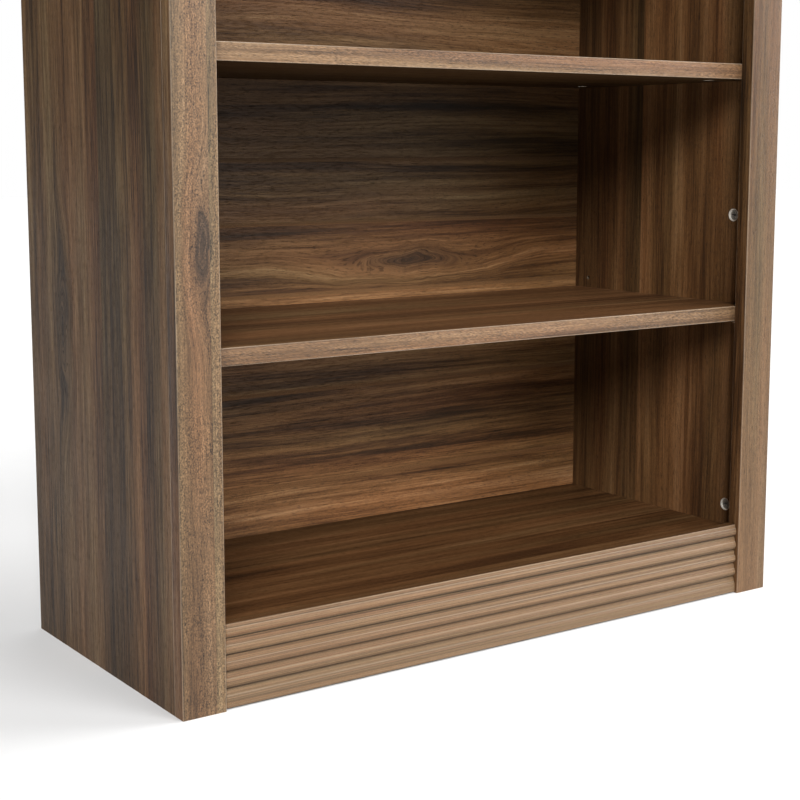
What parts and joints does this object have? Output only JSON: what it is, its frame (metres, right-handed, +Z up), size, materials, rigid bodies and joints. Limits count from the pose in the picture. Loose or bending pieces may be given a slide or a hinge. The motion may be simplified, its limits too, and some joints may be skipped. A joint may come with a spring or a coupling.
{
  "type": "bookcase with adjustable shelves",
  "caption": "Walnut-look bookcase: face frame with wide stiles and reeded rails, fixed middle shelf, adjustable shelves on support pins, cam-lock fittings and a thin back panel.",
  "frame": {"origin": "on the floor, at the centre of the footprint", "axes": "+Z up, the open front faces -Y, +X to the right seen from the front"},
  "size_m": [0.762, 0.336, 1.219],
  "materials": {
    "upright_walnut": "satin wood-grain laminate, grain upright",
    "shelf_walnut": "satin wood-grain laminate, grain lengthwise",
    "reeded_walnut": "satin wrapped moulding, grain lengthwise",
    "edge_band": "satin edge band, grain lengthwise",
    "back_walnut": "satin printed hardboard",
    "cam_zinc": "die-cast zinc, satin",
    "fitting_steel": "zinc-plated steel",
    "pin_steel": "nickel-plated steel",
    "dowel_beech": "plain beech"
  },
  "bodies": {
    "case": {"back_panel": "back_walnut", "back_panel_screws": "fitting_steel", "bottom_panel": "shelf_walnut", "bottom_panel_cams": "cam_zinc", "left_panel_cam_bolts": "fitting_steel", "left_panel_dowels": "dowel_beech", "left_rail_dowels": "dowel_beech", "left_side_panel": "upright_walnut", "left_stile": "upright_walnut", "left_stile_cam_bolts": "fitting_steel", "left_stile_cams": "cam_zinc", "left_stile_dowels": "dowel_beech", "middle_shelf": "shelf_walnut", "middle_shelf_cams": "cam_zinc", "middle_shelf_edge_band": "edge_band", "plinth_rail": "reeded_walnut", "right_panel_cam_bolts": "fitting_steel", "right_panel_dowels": "dowel_beech", "right_rail_dowels": "dowel_beech", "right_side_panel": "upright_walnut", "right_stile": "upright_walnut", "right_stile_cam_bolts": "fitting_steel", "right_stile_cams": "cam_zinc", "right_stile_dowels": "dowel_beech", "top_panel": "shelf_walnut", "top_panel_cams": "cam_zinc", "top_rail": "reeded_walnut"},
    "lower_shelf": {"lower_shelf": "shelf_walnut", "lower_shelf_edge_band": "edge_band"},
    "upper_shelf": {"upper_shelf": "shelf_walnut", "upper_shelf_edge_band": "edge_band"},
    "lower_shelf_pin_front_left": {"lower_shelf_pin_front_left": "pin_steel"},
    "lower_shelf_pin_front_right": {"lower_shelf_pin_front_right": "pin_steel"},
    "lower_shelf_pin_rear_left": {"lower_shelf_pin_rear_left": "pin_steel"},
    "lower_shelf_pin_rear_right": {"lower_shelf_pin_rear_right": "pin_steel"},
    "upper_shelf_pin_front_left": {"upper_shelf_pin_front_left": "pin_steel"},
    "upper_shelf_pin_front_right": {"upper_shelf_pin_front_right": "pin_steel"},
    "upper_shelf_pin_rear_left": {"upper_shelf_pin_rear_left": "pin_steel"},
    "upper_shelf_pin_rear_right": {"upper_shelf_pin_rear_right": "pin_steel"}
  },
  "joints": [
    {"name": "lower_shelf_lift", "type": "slide", "parent": "case", "child": "lower_shelf", "axis": [0, 0, 1], "range_m": [0, 0.255]},
    {"name": "upper_shelf_lift", "type": "slide", "parent": "case", "child": "upper_shelf", "axis": [0, 0, 1], "range_m": [0, 0.327]},
    {"name": "lower_shelf_pin_front_left_pull", "type": "slide", "parent": "case", "child": "lower_shelf_pin_front_left", "axis": [1, 0, 0], "range_m": [0, 0.009]},
    {"name": "lower_shelf_pin_front_right_pull", "type": "slide", "parent": "case", "child": "lower_shelf_pin_front_right", "axis": [-1, 0, 0], "range_m": [0, 0.009]},
    {"name": "lower_shelf_pin_rear_left_pull", "type": "slide", "parent": "case", "child": "lower_shelf_pin_rear_left", "axis": [1, 0, 0], "range_m": [0, 0.009]},
    {"name": "lower_shelf_pin_rear_right_pull", "type": "slide", "parent": "case", "child": "lower_shelf_pin_rear_right", "axis": [-1, 0, 0], "range_m": [0, 0.009]},
    {"name": "upper_shelf_pin_front_left_pull", "type": "slide", "parent": "case", "child": "upper_shelf_pin_front_left", "axis": [1, 0, 0], "range_m": [0, 0.009]},
    {"name": "upper_shelf_pin_front_right_pull", "type": "slide", "parent": "case", "child": "upper_shelf_pin_front_right", "axis": [-1, 0, 0], "range_m": [0, 0.009]},
    {"name": "upper_shelf_pin_rear_left_pull", "type": "slide", "parent": "case", "child": "upper_shelf_pin_rear_left", "axis": [1, 0, 0], "range_m": [0, 0.009]},
    {"name": "upper_shelf_pin_rear_right_pull", "type": "slide", "parent": "case", "child": "upper_shelf_pin_rear_right", "axis": [-1, 0, 0], "range_m": [0, 0.009]}
  ]
}
